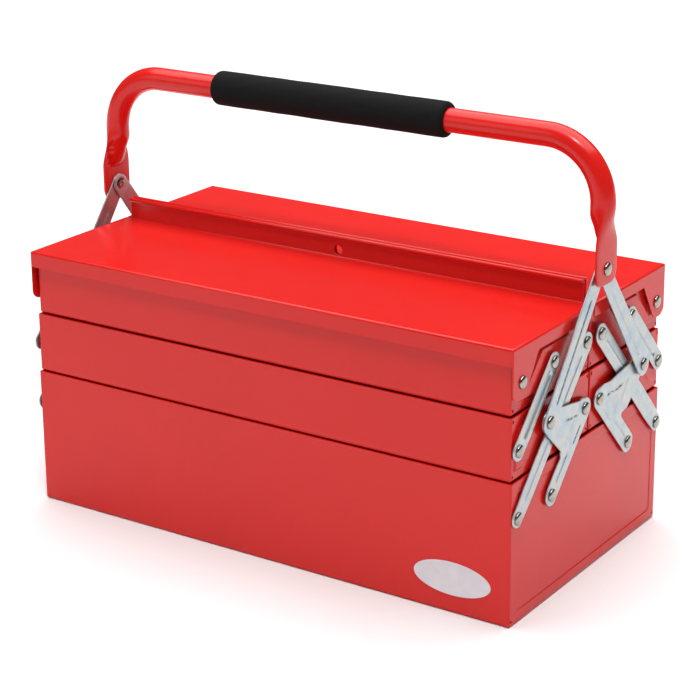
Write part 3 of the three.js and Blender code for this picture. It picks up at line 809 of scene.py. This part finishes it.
def handle_path():
    """Stations along the handle from the right foot to the left.
    Each is (point, direction of the outer side, height above the pivot, for the section)."""
    low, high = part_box("handle_tube")
    top = high.z - TUBE_RADIUS
    reach = high.x - TUBE_RADIUS
    bend_start = top - BEND_RADIUS
    leg_steps, bend_steps, bar_steps = 64, 24, 20
    right = []
    for i in range(leg_steps + 1):
        z = low.z + (bend_start - low.z) * i / leg_steps
        right.append((Vector((reach, 0, z)), 0.0, z - HANDLE_PIVOT[1]))
    for i in range(1, bend_steps + 1):
        angle = (math.pi / 2) * i / bend_steps
        x = reach - BEND_RADIUS * (1 - math.cos(angle))
        z = top - BEND_RADIUS * (1 - math.sin(angle))
        right.append((Vector((x, 0, z)), angle, PLAIN_TUBE))
    span = right[-1][0].x
    bar = [
        (Vector((span * (1 - 2 * k / bar_steps), 0, top)), math.pi / 2, PLAIN_TUBE)
        for k in range(1, bar_steps)
    ]
    left = [(Vector((-p.x, 0, p.z)), math.pi - a, h) for p, a, h in reversed(right)]
    return right + bar + left


def handle_section(above):
    """The tube's section in (outward, y) about the tube's own axis, for a height above the pivot.
    Low down it is a flat strap on the outer side; the tube's inner side comes in as a rounded tongue."""
    radius = TUBE_RADIUS
    share = smooth_step((above - FLAT_UNTIL) / (ROUND_FROM - FLAT_UNTIL))
    flatness = 1 - share
    outer_drop = radius - (radius - STRAP_OUTER) * flatness
    spread = 1 - smooth_step((above - FLAT_UNTIL) / (33 * MM))
    half_width = radius + (STRAP_HALF_WIDTH - radius) * spread
    grown = max(0.0, min(1.0, (above - FLAT_UNTIL) / (30 * MM)))
    tip = math.sqrt(1 - (1 - grown) ** 2) * (0.6 + 0.4 * smooth_step(grown))
    nose = max(0.02, min(1.0, (above - 14 * MM) / (14 * MM)))
    tongue_width = radius * (0.35 + 0.65 * math.sqrt(1 - (1 - nose) ** 2))
    blend = smooth_step((above - 30 * MM) / (14 * MM))
    squeeze = 1.28  # makes the strap's faces flat across most of its width
    edge_round = 0.35 * MM
    points = []
    for i in range(TUBE_SIDES):
        t = TAU * i / TUBE_SIDES
        c, s = math.cos(t), math.sin(t)
        lateral = half_width * (s * share + max(-1, min(1, squeeze * s)) * flatness)
        q = min(1.0, abs(lateral) / half_width)
        if c >= 0:
            round_out = outer_drop * math.sqrt(max(0.0, 1 - q * q))
            flat_out = STRAP_OUTER - edge_round * q**6
            out = round_out * share + flat_out * flatness
        else:
            w = abs(lateral) / tongue_width
            bulge = math.sqrt(max(0.0, 1 - w * w)) if w < 1 else 0.0
            plate = STRAP_OUTER - STRAP_THICK + edge_round * q**6
            deep = plate + (radius + plate) * -bulge * tip
            round_in = -radius * math.sqrt(max(0.0, 1 - q * q))
            out = deep * (1 - blend) + round_in * blend
        points.append((out, lateral))
    return points


def make_handle():
    """The bent tube with a rounded end to each flattened foot."""
    stations = handle_path()
    bm = bmesh.new()
    rings = []
    foot_z = stations[0][0].z
    corner = 9 * MM
    end_width = 0.58  # share of the full width at the very end of a foot
    for point, angle, above in stations:
        rise = point.z - foot_z
        narrow = 1.0
        if rise < corner:
            curve = math.sqrt(max(0.0, 1 - ((corner - rise) / corner) ** 2))
            narrow = curve * (1 - end_width) + end_width
        ring = []
        for out, lateral in handle_section(above):
            p = point + Vector((math.cos(angle), 0, math.sin(angle))) * out
            ring.append(bm.verts.new((p.x, lateral * narrow, p.z)))
        rings.append(ring)
    for a, b in zip(rings, rings[1:]):
        for i in range(TUBE_SIDES):
            j = (i + 1) % TUBE_SIDES
            bm.faces.new((a[i], a[j], b[j], b[i]))
    bm.faces.new(rings[0])
    bm.faces.new(list(reversed(rings[-1])))
    bmesh.ops.remove_doubles(bm, verts=bm.verts, dist=WELD)
    new_object("handle_bar", mesh_from(bm, "handle_bar", 55), "red_paint", "handle", "handle_tube")


def make_grip():
    """The foam sleeve: round-edged ends, a bore, and a skin that is not quite even."""
    low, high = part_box("handle_grip")
    axis_z = ((low + high) / 2).z
    radius = (high.z - low.z) / 2
    bore = 9.05 * MM
    least = bore + 0.02 * MM
    corner = 4.2 * MM
    corner_steps, steps, turns = 10, 120, 64
    left = [(low.x, least)]
    for i in range(corner_steps + 1):
        t = (math.pi / 2) * i / corner_steps
        x = low.x + corner * (1 - math.cos(t))
        left.append((x, max(least, radius - corner * (1 - math.sin(t)))))
    right = [(low.x + high.x - x, r) for x, r in reversed(left)]
    straight = high.x - low.x - 2 * corner
    body = [(low.x + corner + straight * i / steps, radius) for i in range(1, steps)]
    bm = bmesh.new()
    rings = []
    for x, r in left + body + right:
        ring = []
        for i in range(turns):
            t = TAU * i / turns
            sway = 0.12 * MM * math.sin(61 * x + 3 * t) + 0.09 * MM * math.sin(133 * x + 5 * t + 1)
            settled = (r - abs(sway)) if r > bore + 1 * MM else r
            ring.append(bm.verts.new((x, settled * math.cos(t), axis_z + settled * math.sin(t))))
        rings.append(ring)
    for a, b in zip(rings, rings[1:] + rings[:1]):
        for i in range(turns):
            j = (i + 1) % turns
            bm.faces.new((a[i], a[j], b[j], b[i]))
    grip = new_object("grip_sleeve", mesh_from(bm, "grip_sleeve", 60), "foam", "handle", "handle_grip")


# ---- Badge ----
def make_badge():
    """The blank oval label: a thin raised rim round a flat face."""
    low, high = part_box("front_badge")
    middle = centre("front_badge")
    half_x, half_z = (high.x - low.x) / 2, (high.z - low.z) / 2
    count = 96
    bm = bmesh.new()
    rings = []
    rows = (
        (high.y, 1.0),
        (low.y + 0.12 * MM, 1.0),
        (low.y + 0.03 * MM, 0.992),
        (low.y, 0.975),
        (low.y, 0.93),
        (low.y + 0.06 * MM, 0.922),
        (low.y + 0.06 * MM, 0.5),
    )
    for y, share in rows:
        ring = []
        for i in range(count):
            t = TAU * i / count
            x = middle.x + half_x * share * math.cos(t)
            z = middle.z + half_z * share * math.sin(t)
            ring.append(bm.verts.new((x, y, z)))
        rings.append(ring)
    for a, b in zip(rings, rings[1:]):
        for i in range(count):
            j = (i + 1) % count
            bm.faces.new((a[i], a[j], b[j], b[i]))
    bm.faces.new(rings[0])
    bm.faces.new(list(reversed(rings[-1])))
    new_object("front_label", mesh_from(bm, "front_label", 50), "badge", "base", "front_badge")


make_sheets()
make_plates()
make_rivets()
make_handle()
make_grip()
make_badge()


# ---- Stage: floor, light and camera ----
def make_floor():
    """A pale floor just under the box's feet."""
    mesh = bpy.data.meshes.new("floor")
    half, level = 30.0, -0.2 * MM
    corners = [(-half, -half, level), (half, -half, level), (half, half, level), (-half, half, level)]
    mesh.from_pydata(corners, [], [(0, 1, 2, 3)])
    floor = bpy.data.objects.new("floor", mesh)
    bpy.context.scene.collection.objects.link(floor)
    n = Nodes("pale_floor")
    n.colour(n.noise(3, 2), (0.86, 0.86, 0.86), (0.88, 0.88, 0.88))
    n.set(Roughness=0.9, Specular_IOR_Level=0.1)
    mesh.materials.append(n.material)


def make_world(strength):
    world = bpy.data.worlds.new("studio")
    bpy.context.scene.world = world
    world.use_nodes = True
    background = world.node_tree.nodes["Background"]
    background.inputs["Color"].default_value = (1.0, 1.0, 1.0, 1)
    background.inputs["Strength"].default_value = strength


def area_light(name, place, target, size, power):
    """A square white lamp at a place, aimed at a target; size in metres, power in watts."""
    light = bpy.data.lights.new(name, "AREA")
    light.shape = "RECTANGLE"
    light.size = size
    light.size_y = size
    light.energy = power
    obj = bpy.data.objects.new(name, light)
    bpy.context.scene.collection.objects.link(obj)
    obj.location = place
    aim = Vector(target) - Vector(place)
    obj.rotation_mode = "QUATERNION"
    obj.rotation_quaternion = aim.to_track_quat("-Z", "Y")


def make_camera():
    """The camera stands in front and to the right, a little above the lid."""
    azimuth = math.radians(33.741)
    elevation = math.radians(17.844)
    roll = math.radians(-0.442)
    level = math.cos(elevation)
    back = Vector((math.sin(azimuth) * level, -math.cos(azimuth) * level, math.sin(elevation)))
    data = bpy.data.cameras.new("camera")
    camera = bpy.data.objects.new("camera", data)
    bpy.context.scene.collection.objects.link(camera)
    camera.rotation_mode = "QUATERNION"
    turn = (-back).to_track_quat("-Z", "Y").to_matrix() @ Matrix.Rotation(roll, 3, "Z")
    camera.rotation_quaternion = turn.to_quaternion()
    camera.location = (0.8456, -1.2577, 0.6659)
    data.sensor_width = 36
    data.lens = 108.25
    data.shift_y = -0.086
    data.clip_end = 100
    bpy.context.scene.camera = camera


make_floor()
make_world(0.1)
area_light("overhead", place=(-0.3, 0.9, 3.2), target=(-0.3, 0.9, 0), size=5.0, power=240)
area_light("front_fill", place=(-1.6, -2.2, 1.3), target=(0, 0, 0.15), size=1.4, power=8)
area_light("high_spot", place=(0.6, -0.85, 2.2), target=(0.05, 0, 0.2), size=0.2, power=12)
make_camera()
bpy.context.scene.view_settings.view_transform = "Standard"
